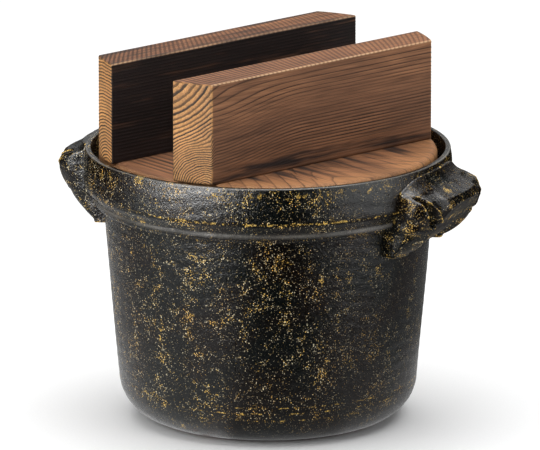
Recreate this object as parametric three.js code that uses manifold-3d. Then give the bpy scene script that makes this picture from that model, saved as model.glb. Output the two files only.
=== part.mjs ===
// Stoneware rice pot with a cedar lid that sits inside the rim.
// Millimetres, +Z up. The origin is the middle of the foot and +X runs through the right lug.

import * as THREE from 'three';
import { mergeVertices } from 'three/addons/utils/BufferGeometryUtils.js';
import Module from 'manifold-3d';

const wasm = await Module();
wasm.setup();

// Fits
const FIT_GAP = 0.3;

// Pot wall and foot
const POT_HEIGHT = 156.5;
const WALL = 8.5;
const WALL_TAPER = 8.8;
const BASE_THICKNESS = 11;
const BASE_CORNER = 24;
const INNER_CORNER = 16;

// Collar and rim
const COLLAR_RADIUS = 105;
const COLLAR_PROUD = 11.2;
const COLLAR_FACE = 20.7;
const COLLAR_BEVEL = 10.7;
const LIP_INSET = 5.7;
const LIP_ROUND = 3;
const RIM_WIDTH = 4;
const RIM_ROUND = 1.6;
const LEDGE_ROUND = 1.5;

// Lid board
const LID_CLEARANCE = 4.6;
const LID_RECESS = 0.5;
const BOARD_THICKNESS = 17;
const BOARD_TOP_ROUND = 3.5;
const BOARD_FOOT_CHAMFER = 1.5;
const PLANK_WIDTH = 64;
const LID_TURN = THREE.MathUtils.degToRad(66.5);

// Battens
const BATTEN_HEIGHT = 58;
const BATTEN_THICKNESS = 23;
const BATTEN_SPACE = 52;
const BATTEN_ARRIS = 0.8;
const BATTEN_SLIDE = 2;
const TONGUE_DEPTH = 6;
const TONGUE_NECK = 11;
const TONGUE_FOOT = 14;

// Pegs across the plank joints
const PEG_RADIUS = 2.5;
const PEG_LENGTH = 24;
const PEG_INSET = 26;

// Lugs
const LUG_WIDTH = 74;
const LUG_REACH = 19;
const LUG_TOP_DROP = 2.5;
const LUG_TOP_PROUD = 0.8;
const LUG_CREST_DROP = 14.5;
const LUG_BAND = 3.5;
const LUG_BAND_LEAN = 2;
const LUG_BULGE = 7.5;
const LUG_SHELF_DIP = 2.5;
const LUG_FOOT_DROP = 49;
const LUG_FOOT_PROUD = 9;
const LUG_FOOT_ROUND = 2;
const LUG_ROOT = 8;
const LUG_END_PROUD = 7;
const LUG_END_SAG = 7;
const LUG_RIM_DROP = 2.5;
const PINCH_INSET = 6.5;
const PINCH_SHIFT = 11.05;
const PINCH_WIDTH = 4.6;
const PINCH_DEPTH = 8;
const PINCH_RUN = 17;
const PINCH_LEAD = 5;
const HOLLOW_INSET = 13;
const HOLLOW_DEPTH = 7;
const HOLLOW_EDGE = 2;
const HOLLOW_EASE = 14;
const ARCH_FALL = 16;
const ARCH_POWER = 3.5;
const LEFT_LUG_TURN = THREE.MathUtils.degToRad(178);
const LEFT_LUG_LIFT = 4;
const LEFT_LUG_EXTRA = 3.45;

// Smoothness of the round stretches
const ROUND_STEPS = 64;
const CURVE_STEPS = 3;
const CORNER_STEPS = 7;
const LUG_STEPS = 44;
const LUG_CURVE_STEPS = 7;
const PEG_STEPS = 12;

// Sizes that follow from the ones above
const NECK_RADIUS = COLLAR_RADIUS - COLLAR_PROUD;
const WALL_FOOT_RADIUS = NECK_RADIUS - WALL_TAPER;
const FOOT_RADIUS = WALL_FOOT_RADIUS - BASE_CORNER;
const LIP_RADIUS = COLLAR_RADIUS - LIP_INSET;
const LIP_HEIGHT = POT_HEIGHT - COLLAR_FACE - COLLAR_BEVEL;
const NECK_HEIGHT = LIP_HEIGHT - LIP_ROUND;
const RIM_INNER_RADIUS = COLLAR_RADIUS - RIM_WIDTH;
const MOUTH_RADIUS = NECK_RADIUS - WALL;
const LEDGE_HEIGHT = POT_HEIGHT - LID_RECESS - BOARD_THICKNESS - FIT_GAP;
const WALL_ANGLE = Math.atan2(WALL_TAPER, NECK_HEIGHT - BASE_CORNER);
const LID_RADIUS = RIM_INNER_RADIUS - LID_CLEARANCE;
const BATTEN_OFFSET = (BATTEN_SPACE + BATTEN_THICKNESS) / 2;
const PEG_HEIGHT = (BOARD_THICKNESS - TONGUE_DEPTH) / 2;
const JOINT_HALF_LENGTH = Math.sqrt(LID_RADIUS ** 2 - (PLANK_WIDTH / 2) ** 2);
const PEG_OFFSET = JOINT_HALF_LENGTH - PEG_INSET;
const PINCH_SPACING = LUG_WIDTH - 2 * PINCH_INSET;
const PINCH_SLANT = PINCH_SHIFT / PINCH_RUN;
const HOLLOW_WIDTH = LUG_WIDTH - 2 * HOLLOW_INSET;
const LUG_LEG = LUG_FOOT_DROP - LUG_CREST_DROP;
const LEFT_LUG_STRETCH = (LUG_LEG + LEFT_LUG_EXTRA) / LUG_LEG;

// Solids

function solid(geometry) {
  const bare = geometry.clone();
  bare.deleteAttribute('normal');
  bare.deleteAttribute('uv');
  const merged = mergeVertices(bare);
  const corners = merged.index.array;
  const triangles = [];
  for (let i = 0; i < corners.length; i += 3) {
    const [a, b, c] = corners.slice(i, i + 3);
    if (a !== b && b !== c && c !== a) {
      triangles.push(a, b, c);
    }
  }
  const mesh = new wasm.Mesh({
    numProp: 3,
    vertProperties: new Float32Array(merged.attributes.position.array),
    triVerts: new Uint32Array(triangles),
  });
  return new wasm.Manifold(mesh);
}

function surface(manifold) {
  const { vertProperties, triVerts } = manifold.getMesh();
  const geometry = new THREE.BufferGeometry();
  geometry.setAttribute('position', new THREE.BufferAttribute(vertProperties, 3));
  geometry.setIndex(new THREE.BufferAttribute(triVerts, 1));
  return geometry;
}

// A profile of (radius, height) points turned about the Z axis.
function revolve(points) {
  return solid(new THREE.LatheGeometry(points, ROUND_STEPS).rotateX(Math.PI / 2));
}

function box(width, depth, height) {
  return new THREE.BoxGeometry(width, depth, height);
}

// An outline in X and Z pushed along Y, with its middle at Y = 0.
function bar(outline, length) {
  const geometry = new THREE.ExtrudeGeometry(outline, { depth: length, bevelEnabled: false });
  return geometry.rotateX(Math.PI / 2).translate(0, length / 2, 0);
}

// Pot

// The outer skin from the edge of the foot up to the rim crest.
function potSkin() {
  const corner = new THREE.EllipseCurve(
    FOOT_RADIUS, BASE_CORNER, BASE_CORNER, BASE_CORNER, -Math.PI / 2, -WALL_ANGLE);
  const lipFoot = LIP_HEIGHT - LIP_ROUND / 2;
  const collar = new THREE.Path();
  collar.moveTo(NECK_RADIUS, NECK_HEIGHT);
  collar.quadraticCurveTo(NECK_RADIUS, lipFoot, LIP_RADIUS - LIP_ROUND, lipFoot);
  collar.quadraticCurveTo(LIP_RADIUS, lipFoot, LIP_RADIUS, LIP_HEIGHT + LIP_ROUND / 2);
  collar.lineTo(COLLAR_RADIUS, POT_HEIGHT - COLLAR_FACE);
  collar.lineTo(COLLAR_RADIUS, POT_HEIGHT - RIM_ROUND);
  collar.quadraticCurveTo(COLLAR_RADIUS, POT_HEIGHT, COLLAR_RADIUS - RIM_ROUND, POT_HEIGHT);
  return [...corner.getPoints(CORNER_STEPS), ...collar.getPoints(CURVE_STEPS)];
}

const SKIN = potSkin();

// The inside from the rim crest down over the lid ledge to the edge of the floor.
function potInside() {
  const floorRadius = WALL_FOOT_RADIUS - WALL - INNER_CORNER;
  const mouth = new THREE.Path();
  mouth.moveTo(RIM_INNER_RADIUS + RIM_ROUND, POT_HEIGHT);
  mouth.quadraticCurveTo(RIM_INNER_RADIUS, POT_HEIGHT, RIM_INNER_RADIUS, POT_HEIGHT - RIM_ROUND);
  mouth.lineTo(RIM_INNER_RADIUS, LEDGE_HEIGHT + LEDGE_ROUND);
  mouth.quadraticCurveTo(RIM_INNER_RADIUS, LEDGE_HEIGHT, RIM_INNER_RADIUS - LEDGE_ROUND, LEDGE_HEIGHT);
  mouth.lineTo(MOUTH_RADIUS + LEDGE_ROUND, LEDGE_HEIGHT);
  mouth.quadraticCurveTo(MOUTH_RADIUS, LEDGE_HEIGHT, MOUTH_RADIUS, LEDGE_HEIGHT - LEDGE_ROUND);
  mouth.lineTo(MOUTH_RADIUS, NECK_HEIGHT);
  const corner = new THREE.EllipseCurve(
    floorRadius, BASE_THICKNESS + INNER_CORNER, INNER_CORNER, INNER_CORNER, -WALL_ANGLE, -Math.PI / 2, true);
  return [...mouth.getPoints(CURVE_STEPS), ...corner.getPoints(CORNER_STEPS)];
}

function potBody() {
  const foot = new THREE.Vector2(0, 0);
  const floor = new THREE.Vector2(0, BASE_THICKNESS);
  return revolve([foot, ...SKIN, ...potInside(), floor]);
}

// A line of points moved sideways, to its right, by a distance.
function offset(points, distance) {
  return points.map((point, i) => {
    const before = points[Math.max(i - 1, 0)];
    const after = points[Math.min(i + 1, points.length - 1)];
    const along = after.clone().sub(before).normalize();
    return new THREE.Vector2(point.x + along.y * distance, point.y - along.x * distance);
  });
}

// All the space the pot fills, a fit gap larger than its skin.
function potSpace() {
  const skin = offset(SKIN, FIT_GAP);
  const bottom = new THREE.Vector2(0, skin[0].y);
  const top = new THREE.Vector2(0, skin.at(-1).y);
  return revolve([bottom, ...skin, top]);
}

// Lugs

// How far the pot's skin stands from the axis at a height.
function skinRadius(height) {
  const above = Math.max(SKIN.findIndex((point) => point.y >= height), 1);
  const [low, high] = [SKIN[above - 1], SKIN[above]];
  return THREE.MathUtils.mapLinear(height, low.y, high.y, low.x, high.x);
}

// The lug cut through its middle: sloping top, narrow leaning band, round underside, blunt foot.
function lugSection() {
  const wallRadius = skinRadius(POT_HEIGHT - LUG_FOOT_DROP);
  const root = wallRadius - LUG_ROOT;
  const reach = COLLAR_RADIUS + LUG_REACH;
  const foot = POT_HEIGHT - LUG_FOOT_DROP;
  const footEdge = new THREE.Vector2(wallRadius + LUG_FOOT_PROUD, foot + LUG_FOOT_ROUND);
  const crest = new THREE.Vector2(reach - LUG_BAND_LEAN, POT_HEIGHT - LUG_CREST_DROP);
  const bandFoot = new THREE.Vector2(reach, crest.y - LUG_BAND);
  const top = new THREE.Vector2(COLLAR_RADIUS + LUG_TOP_PROUD, POT_HEIGHT - LUG_TOP_DROP);
  const under = footEdge.clone().lerp(bandFoot, 0.5);
  const shelf = crest.clone().lerp(top, 0.5);
  const section = new THREE.Shape();
  section.moveTo(root, foot);
  section.lineTo(footEdge.x - LUG_FOOT_ROUND, foot);
  section.quadraticCurveTo(footEdge.x, foot, footEdge.x, footEdge.y);
  section.quadraticCurveTo(under.x + LUG_BULGE, under.y - LUG_BULGE, bandFoot.x, bandFoot.y);
  section.lineTo(crest.x, crest.y);
  section.quadraticCurveTo(shelf.x - LUG_SHELF_DIP, shelf.y - LUG_SHELF_DIP, top.x, top.y);
  section.lineTo(root, top.y);
  section.closePath();
  return section;
}

// How far a point along the lug lies inside a dip of a given width: 1 in the middle, 0 outside.
function dip(distance, width) {
  return Math.max(0, 1 - Math.abs(distance) / (width / 2));
}

// Where a station along the lug lies at a drop below the rim: the stations lean with the pinches.
function leanStation(station, drop) {
  const side = Math.abs(station);
  const half = LUG_WIDTH / 2;
  const pinch = PINCH_SPACING / 2;
  const below = THREE.MathUtils.clamp(drop - LUG_CREST_DROP, -PINCH_LEAD, PINCH_RUN);
  const leaned = pinch - PINCH_SLANT * below;
  const place = side < pinch
    ? THREE.MathUtils.mapLinear(side, 0, pinch, 0, leaned)
    : THREE.MathUtils.mapLinear(side, pinch, half, leaned, half);
  return Math.sign(station) * place;
}

// How deep the two thumb pinches are at a station and a drop.
function pinchDepth(station, drop) {
  const below = drop - LUG_CREST_DROP;
  const away = Math.abs(station) - PINCH_SPACING / 2;
  const start = THREE.MathUtils.smoothstep(below, -PINCH_LEAD, 0);
  const stop = 1 - THREE.MathUtils.smoothstep(below, PINCH_RUN - PINCH_LEAD, PINCH_RUN);
  return PINCH_DEPTH * Math.sqrt(dip(away, PINCH_WIDTH)) * start * stop;
}

// How deep the arched finger hollow under the band is at a place along the lug and a drop: it has
// steep ends and deepens slowly below the band.
function hollowDepth(along, drop) {
  const side = Math.abs(along);
  const half = HOLLOW_WIDTH / 2;
  const arch = LUG_CREST_DROP + LUG_BAND + ARCH_FALL * (side / half) ** ARCH_POWER;
  const inside = THREE.MathUtils.smoothstep(half - side, 0, HOLLOW_EDGE);
  return HOLLOW_DEPTH * inside * THREE.MathUtils.smoothstep(drop - arch, 0, HOLLOW_EASE);
}

// A point of the straight lug (radius, height, station along it) moved to its pinched and hollowed form.
function modelLug(radius, height, station) {
  const drop = POT_HEIGHT - height;
  const along = leanStation(station, drop);
  const end = Math.abs(along) / (LUG_WIDTH / 2);
  const skin = skinRadius(height);
  const proud = radius - skin;
  const rise = 1 - THREE.MathUtils.smoothstep(drop, LUG_TOP_DROP, LUG_CREST_DROP);
  const newHeight = height - LUG_END_SAG * end ** 4 * rise;
  if (proud <= 0) {
    return [radius, newHeight, along];
  }
  const fullness = Math.sqrt(Math.max(0, 1 - end ** 4));
  const full = Math.min(proud, LUG_END_PROUD) + Math.max(0, proud - LUG_END_PROUD) * fullness;
  const newProud = full - pinchDepth(station, drop) - hollowDepth(along, drop);
  return [skin + Math.max(newProud, 0), newHeight, along];
}

// The finished lug, bent round the pot at +X, made taller about its crest, lifted and cut to lie
// against the pot's skin.
function lug(lift, stretch) {
  const straight = new THREE.ExtrudeGeometry(lugSection(), {
    depth: LUG_WIDTH,
    steps: LUG_STEPS,
    curveSegments: LUG_CURVE_STEPS,
    bevelEnabled: false,
  });
  const crestHeight = POT_HEIGHT - LUG_CREST_DROP;
  const highest = POT_HEIGHT - LUG_RIM_DROP;
  const place = straight.attributes.position;
  for (let i = 0; i < place.count; i += 1) {
    const station = place.getZ(i) - LUG_WIDTH / 2;
    const [radius, height, along] = modelLug(place.getX(i), place.getY(i), station);
    const angle = -along / COLLAR_RADIUS;
    const lifted = crestHeight + (height - crestHeight) * stretch + lift;
    place.setXYZ(i, radius * Math.cos(angle), radius * Math.sin(angle), Math.min(lifted, highest));
  }
  return solid(straight).subtract(potSpace());
}

// Lid, in its own frame: planks run along X, battens along Y, underside at Z = 0

function lidDisc() {
  const profile = new THREE.Path();
  profile.moveTo(0, 0);
  profile.lineTo(LID_RADIUS - BOARD_FOOT_CHAMFER, 0);
  profile.lineTo(LID_RADIUS, BOARD_FOOT_CHAMFER);
  profile.lineTo(LID_RADIUS, BOARD_THICKNESS - BOARD_TOP_ROUND);
  profile.quadraticCurveTo(LID_RADIUS, BOARD_THICKNESS, LID_RADIUS - BOARD_TOP_ROUND, BOARD_THICKNESS);
  profile.lineTo(0, BOARD_THICKNESS);
  return revolve(profile.getPoints(CURVE_STEPS));
}

// A batten seen from its end: square with softened top arrises, and a dovetail tongue below.
function battenOutline() {
  const half = BATTEN_THICKNESS / 2;
  const seat = BOARD_THICKNESS + FIT_GAP;
  const top = BOARD_THICKNESS + BATTEN_HEIGHT;
  const tongueFoot = BOARD_THICKNESS - TONGUE_DEPTH;
  return new THREE.Shape([
    new THREE.Vector2(-TONGUE_FOOT / 2, tongueFoot),
    new THREE.Vector2(TONGUE_FOOT / 2, tongueFoot),
    new THREE.Vector2(TONGUE_NECK / 2, seat),
    new THREE.Vector2(half, seat),
    new THREE.Vector2(half, top - BATTEN_ARRIS),
    new THREE.Vector2(half - BATTEN_ARRIS, top),
    new THREE.Vector2(BATTEN_ARRIS - half, top),
    new THREE.Vector2(-half, top - BATTEN_ARRIS),
    new THREE.Vector2(-half, seat),
    new THREE.Vector2(-TONGUE_NECK / 2, seat),
  ]);
}

// The groove that the tongue slides in.
function grooveOutline() {
  const slope = (TONGUE_FOOT - TONGUE_NECK) / 2 / (TONGUE_DEPTH + FIT_GAP);
  const neck = TONGUE_NECK / 2 + FIT_GAP - slope * TONGUE_DEPTH;
  const foot = TONGUE_FOOT / 2 + FIT_GAP + slope * FIT_GAP;
  const floor = BOARD_THICKNESS - TONGUE_DEPTH - FIT_GAP;
  return new THREE.Shape([
    new THREE.Vector2(-foot, floor),
    new THREE.Vector2(foot, floor),
    new THREE.Vector2(neck, BOARD_THICKNESS + TONGUE_DEPTH),
    new THREE.Vector2(-neck, BOARD_THICKNESS + TONGUE_DEPTH),
  ]);
}

function peg(radius, length) {
  return new THREE.CylinderGeometry(radius, radius, length, PEG_STEPS);
}

// The plank between two joint lines, grooved for the battens and drilled for the pegs.
function plank(disc, from, to) {
  const width = to - from;
  const slab = box(2 * LID_RADIUS, width, 2 * BOARD_THICKNESS).translate(0, (from + to) / 2, 0);
  let wood = disc.intersect(solid(slab));
  for (const side of [-1, 1]) {
    const groove = bar(grooveOutline(), 2 * LID_RADIUS).translate(side * BATTEN_OFFSET, 0, 0);
    wood = wood.subtract(solid(groove));
    for (const joint of [-1, 1]) {
      const hole = peg(PEG_RADIUS + FIT_GAP, PEG_LENGTH + 2 * FIT_GAP);
      hole.translate(side * PEG_OFFSET, joint * PLANK_WIDTH / 2, PEG_HEIGHT);
      wood = wood.subtract(solid(hole));
    }
  }
  return wood;
}

// A batten over the full lid, with its ends cut to the lid's round edge.
function batten(side) {
  const round = new THREE.CylinderGeometry(LID_RADIUS, LID_RADIUS, 4 * BATTEN_HEIGHT, ROUND_STEPS);
  const blank = bar(battenOutline(), 2 * LID_RADIUS).translate(side * BATTEN_OFFSET, 0, 0);
  return solid(blank).intersect(solid(round.rotateX(Math.PI / 2)));
}

// Materials

function finish(color, roughness) {
  return new THREE.MeshStandardMaterial({ color, roughness, metalness: 0 });
}

function piece(name, geometry, material) {
  const mesh = new THREE.Mesh(geometry, material);
  mesh.name = name;
  return mesh;
}

// Assembly

const pot = new THREE.Group();
pot.add(piece('pot_body', surface(potBody()), finish(0x2c302f, 0.35)));
const lugs = [
  ['lug_right', 0, 0, 1],
  ['lug_left', LEFT_LUG_TURN, LEFT_LUG_LIFT, LEFT_LUG_STRETCH],
];
for (const [name, turn, lift, stretch] of lugs) {
  const mesh = piece(name, surface(lug(lift, stretch)), finish(0x35332a, 0.4));
  mesh.rotation.z = turn;
  pot.add(mesh);
}

const lid = new THREE.Group();
lid.position.z = LEDGE_HEIGHT + FIT_GAP;
lid.rotation.z = LID_TURN - Math.PI / 2;
const disc = lidDisc();
const joint = PLANK_WIDTH / 2;
const jointGap = FIT_GAP / 2;
const planks = [
  ['lid_plank_left', -LID_RADIUS, -joint - jointGap],
  ['lid_plank_middle', -joint + jointGap, joint - jointGap],
  ['lid_plank_right', joint + jointGap, LID_RADIUS],
];
for (const [name, from, to] of planks) {
  lid.add(piece(name, surface(plank(disc, from, to)), finish(0xa06b42, 0.7)));
}
for (const [name, side] of [['batten_rear', -1], ['batten_front', 1]]) {
  const mesh = piece(name, surface(batten(side)), finish(0x85593a, 0.7));
  mesh.position.y = -BATTEN_SLIDE;
  lid.add(mesh);
}
for (const [row, across] of [['left', -1], ['right', 1]]) {
  for (const [end, side] of [['rear', -1], ['front', 1]]) {
    const mesh = piece(`peg_${row}_${end}`, peg(PEG_RADIUS, PEG_LENGTH), finish(0xd8b676, 0.6));
    mesh.position.set(side * PEG_OFFSET, across * joint, PEG_HEIGHT);
    lid.add(mesh);
  }
}

const ricePot = new THREE.Group();
ricePot.name = 'rice_pot';
ricePot.add(pot, lid);

export default ricePot;
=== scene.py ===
import math

import bmesh
import bpy
import numpy as np
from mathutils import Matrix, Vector, noise


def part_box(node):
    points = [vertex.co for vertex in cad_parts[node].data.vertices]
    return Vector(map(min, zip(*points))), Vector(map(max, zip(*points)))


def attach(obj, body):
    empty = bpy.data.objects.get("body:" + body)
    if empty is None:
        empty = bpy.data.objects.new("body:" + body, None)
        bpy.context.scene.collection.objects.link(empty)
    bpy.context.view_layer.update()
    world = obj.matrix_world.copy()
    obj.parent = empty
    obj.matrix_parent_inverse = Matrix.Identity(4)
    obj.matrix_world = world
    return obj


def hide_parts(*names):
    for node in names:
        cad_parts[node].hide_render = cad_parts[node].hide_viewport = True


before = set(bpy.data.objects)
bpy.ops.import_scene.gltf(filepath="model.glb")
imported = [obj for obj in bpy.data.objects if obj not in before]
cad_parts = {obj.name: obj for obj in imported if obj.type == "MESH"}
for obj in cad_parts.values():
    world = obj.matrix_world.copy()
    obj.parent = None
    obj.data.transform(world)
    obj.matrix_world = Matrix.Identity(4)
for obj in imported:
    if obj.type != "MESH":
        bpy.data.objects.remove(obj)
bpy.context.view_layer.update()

MM = 0.001

# Pot, in millimetres
pot_low, pot_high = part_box("pot_body")
POT_HEIGHT = pot_high[2] / MM
COLLAR_RADIUS = (pot_high[1] - pot_low[1]) / 2 / MM
COLLAR_PROUD = 11.2
COLLAR_FACE = 20.7
COLLAR_BEVEL = 10.7
LIP_INSET = 5.7
LIP_ROUND = 3.0
LIP_FACE = 2.6
RIM_WIDTH = 4.0
RIM_ROUND = 1.2
RIM_IN_ROUND = 0.5
COLLAR_LEAN = 0.9
COLLAR_BEND = 13.0
RIDGE_ROUND = 2.0
WALL = 8.5
WALL_TAPER = 8.8
BASE_THICKNESS = 11.0
BASE_CORNER = 24.0
INNER_CORNER = 16.0
LEDGE_DEPTH = 17.8
LEDGE_ROUND = 1.5
NECK_RADIUS = COLLAR_RADIUS - COLLAR_PROUD
WALL_FOOT_RADIUS = NECK_RADIUS - WALL_TAPER
FOOT_RADIUS = WALL_FOOT_RADIUS - BASE_CORNER
LIP_RADIUS = COLLAR_RADIUS - LIP_INSET
RIDGE_HEIGHT = POT_HEIGHT - COLLAR_FACE
LIP_HEIGHT = RIDGE_HEIGHT - COLLAR_BEVEL
NECK_HEIGHT = LIP_HEIGHT - LIP_ROUND
RIM_INNER_RADIUS = COLLAR_RADIUS - RIM_WIDTH
MOUTH_RADIUS = NECK_RADIUS - WALL
LEDGE_HEIGHT = POT_HEIGHT - LEDGE_DEPTH
WALL_ANGLE = math.atan2(WALL_TAPER, NECK_HEIGHT - BASE_CORNER)
POT_TURNS = 300
CAP_RADIUS = 2.0
FOOT_STEP = 8.0
SKIN_STEP = 1.2
RIM_STEP = 0.3
INSIDE_STEP = 2.5
FLOOR_STEP = 6.0

# Lid, in millimetres, in its own frame: planks run along X and battens along Y
lid_low, lid_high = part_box("lid_plank_middle")
_, batten_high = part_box("batten_front")
LID_BOTTOM = lid_low[2] / MM
BOARD_THICKNESS = (lid_high[2] - lid_low[2]) / MM
LID_RADIUS = 96.4
LID_TURN = math.radians(66.5 - 90)
BOARD_TOP_ROUND = 3.5
BOARD_FOOT_CHAMFER = 1.5
BOARD_TURNS = 240
BOARD_STEP = 1.2
BOARD_CAP_RADIUS = 1.0
JOINT_OFFSET = 32.0
JOINT_GAP = 0.06
BATTEN_HEIGHT = (batten_high[2] - lid_high[2]) / MM
BATTEN_THICKNESS = 23.0
BATTEN_OFFSET = 37.5
BATTEN_ARRIS = 0.9
BATTEN_SLIDE = 2.0
BATTEN_HALF_LENGTH = math.sqrt(LID_RADIUS ** 2 - BATTEN_OFFSET ** 2)


# Mesh helpers

def line(start, end, step):
    """Points from start towards end, without the end itself."""
    start, end = np.array(start, float), np.array(end, float)
    count = max(1, math.ceil(np.linalg.norm(end - start) / step))
    return [start + (end - start) * i / count for i in range(count)]


def curve(start, control, end, count):
    """Points of a quadratic curve, without its end."""
    start, control, end = (np.array(p, float) for p in (start, control, end))
    steps = [i / count for i in range(count)]
    return [(1 - t) ** 2 * start + 2 * t * (1 - t) * control + t * t * end for t in steps]


def path(start, legs):
    """Points along straight legs (end, step) and curved legs (control, end, count)."""
    points = []
    for *control, end, fineness in legs:
        points += curve(start, *control, end, fineness) if control else line(start, end, fineness)
        start = end
    return points


def arc(centre, radius, first, last, count):
    """Points of an arc between two angles, both ends included."""
    x, y = centre
    angles = np.linspace(first, last, count)
    return [np.array((x + radius * math.cos(a), y + radius * math.sin(a))) for a in angles]


def smoothstep(low, high, value):
    t = np.clip((value - low) / (high - low), 0, 1)
    return t * t * (3 - 2 * t)


def fade(value, low, high, share):
    """0 at low, growing to a share at high and beyond."""
    return share * smoothstep(low, high, value)


def window(value, low, high, soft):
    """1 between low and high, fading to 0 outside over a soft edge."""
    return smoothstep(low - soft, low + soft, value) * smoothstep(high + soft, high - soft, value)


def bell(value, middle, width):
    return np.exp(-((value - middle) / width) ** 2)


def noise_field(points, size, seed):
    """Smooth noise from -1 to 1 at each point, with lumps of about that size."""
    return np.array([noise.noise(Vector(p) / size + Vector((seed, 0, 0))) for p in points])


def ring_faces(rows, count, flipped=False):
    """Faces between closed rings of points, then a flat cap on the first and the last ring."""
    faces = []
    for row in range(rows - 1):
        near, far = row * count, (row + 1) * count
        for i in range(count):
            j = (i + 1) % count
            others = (near + j, far + j, far + i)
            faces.append((near + i, *(others[::-1] if flipped else others)))
    first = tuple(range(count))
    last = tuple(range((rows - 1) * count, rows * count))
    return faces + ([first, last[::-1]] if flipped else [first[::-1], last])


def make_piece(name, points, faces, material):
    mesh = bpy.data.meshes.new(name)
    mesh.from_pydata((np.asarray(points) * MM).tolist(), [], faces)
    mesh.validate()
    mesh.materials.append(material)
    mesh.shade_smooth()
    piece = bpy.data.objects.new(name, mesh)
    bpy.context.scene.collection.objects.link(piece)
    return piece


def write_layers(piece, **layers):
    """Values at each point that the materials read by name; one left out reads as 0."""
    for name, values in layers.items():
        values = np.asarray(values, np.float32)
        kind, field = ("FLOAT_VECTOR", "vector") if values.ndim == 2 else ("FLOAT", "value")
        layer = piece.data.attributes.new(name, kind, "POINT")
        layer.data.foreach_set(field, values.ravel())


def read_rows(items, field, width, kind=np.float32):
    """A field of every vertex, edge or normal of a mesh, as one row each."""
    values = np.empty(len(items) * width, kind)
    items.foreach_get(field, values)
    return values.reshape(-1, width)


def dress(piece, body, slot, *nodes):
    """Tells the frame what the piece rides on and hides the nodes it stands for; its finish, slot, is
    not used.
    """
    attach(piece, body)
    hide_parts(*nodes)


# Node helpers

def add(tree, kind, inputs=None, **settings):
    made = tree.nodes.new("ShaderNode" + kind)
    for key, value in settings.items():
        setattr(made, key, value)
    for key, value in (inputs or {}).items():
        if isinstance(value, Field):
            tree.links.new(value.socket, made.inputs[key])
        else:
            made.inputs[key].default_value = value
    return made


class Field:
    """A number, vector or colour that a shader node gives at each point of a surface."""

    def __init__(self, tree, socket):
        self.tree = tree
        self.socket = socket

    def made(self, kind, inputs, output=0, **settings):
        """The field that a new node makes of these inputs."""
        return Field(self.tree, add(self.tree, kind, inputs, **settings).outputs[output])

    def to(self, node, name):
        self.tree.links.new(self.socket, node.inputs[name])

    def math(self, operation, other=0.0):
        return self.made("Math", {0: self, 1: other}, operation=operation)

    def __add__(self, other):
        return self.math("ADD", other)

    def __mul__(self, other):
        return self.math("MULTIPLY", other)

    def __sub__(self, other):
        return self.math("SUBTRACT", other)

    def __rsub__(self, other):
        return self.made("Math", {0: other, 1: self}, operation="SUBTRACT")

    def remap(self, low, high, to_low=0.0, to_high=1.0):
        inputs = {"Value": self, "From Min": low, "From Max": high, "To Min": to_low, "To Max": to_high}
        return self.made("MapRange", inputs, interpolation_type="SMOOTHSTEP")

    def mix(self, first, second):
        """The first colour turning to the second as this goes from 0 to 1."""
        return self.made("Mix", {0: self, 6: first, 7: second}, 2, data_type="RGBA")

    def tinted(self, tone):
        inputs = {0: 1.0, 6: self, 7: tone}
        return self.made("Mix", inputs, 2, data_type="RGBA", blend_type="MULTIPLY")

    def stretch(self, scale):
        return self.made("Mapping", {"Vector": self, "Scale": scale})

    def noise(self, scale, detail, roughness):
        inputs = {"Vector": self, "Scale": scale, "Detail": detail, "Roughness": roughness}
        return self.made("TexNoise", inputs, "Fac")

    def cells(self, scale):
        """Distance to the nearest of many scattered points, and three random numbers for that point."""
        spots = add(self.tree, "TexVoronoi", {"Vector": self, "Scale": scale})
        chance = add(self.tree, "SeparateColor", {0: Field(self.tree, spots.outputs["Color"])})
        return [Field(self.tree, socket) for socket in (spots.outputs["Distance"], *chance.outputs)]

    def bump(self, strength, distance, normal=None):
        inputs = {"Height": self, "Strength": strength, "Distance": distance}
        if normal:
            inputs["Normal"] = normal
        return self.made("Bump", inputs)

    def ramp(self, stops):
        made = add(self.tree, "ValToRGB", {0: self})
        elements = made.color_ramp.elements
        while len(elements) < len(stops):
            elements.new(0.5)
        for element, (position, colour) in zip(elements, stops):
            element.position = position
            element.color = (*colour, 1)
        return Field(self.tree, made.outputs[0])


def new_material(name):
    material = bpy.data.materials.new(name)
    material.use_nodes = True
    return material, material.node_tree, material.node_tree.nodes["Principled BSDF"]


def object_place(tree):
    return Field(tree, add(tree, "TexCoord").outputs["Object"])


def attribute(tree, name, output="Fac"):
    return Field(tree, add(tree, "Attribute", attribute_name=name).outputs[output])


# Glaze: near black, breaking to amber in fine specks, in spots and along the edges, with a painted
# highlight line round the lip and the rim crest

INK = (0.0016, 0.0026, 0.0024, 1)
TAR = (0.0034, 0.0016, 0.0008, 1)
GOLD = (0.74, 0.47, 0.10, 1)
STRAW = (0.84, 0.74, 0.50, 1)
RUST = (0.45, 0.17, 0.025, 1)
CLAY = (0.075, 0.028, 0.018, 1)
# Light grey of the painted highlight on the lip and the rim crest
HIGHLIGHT_GREY = (0.24, 0.225, 0.20, 1)
SPECK_REACH = 0.36
# Cells and lumps to the metre
SPECK_CELLS = 1200
BLOT_CELLS = (60, 60, 36)
GRIT_SCALE = 1400


def fine_specks(place, gather, clear):
    """Fine specks that gather in nests and runs, with a random number for the tint of each."""
    away, size_chance, light_chance, tint_chance = place.cells(SPECK_CELLS)
    reach = gather * 0.10 + SPECK_REACH + size_chance.remap(0, 1, -0.20, 0.06)
    fine = (reach - away).remap(0.0, 0.05) * light_chance.remap(0.15, 0.85, 0.08, 1.0)
    return fine * gather.remap(-0.9, 0.9, 0.46, 1.0) * (1.0 - clear), tint_chance


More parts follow.
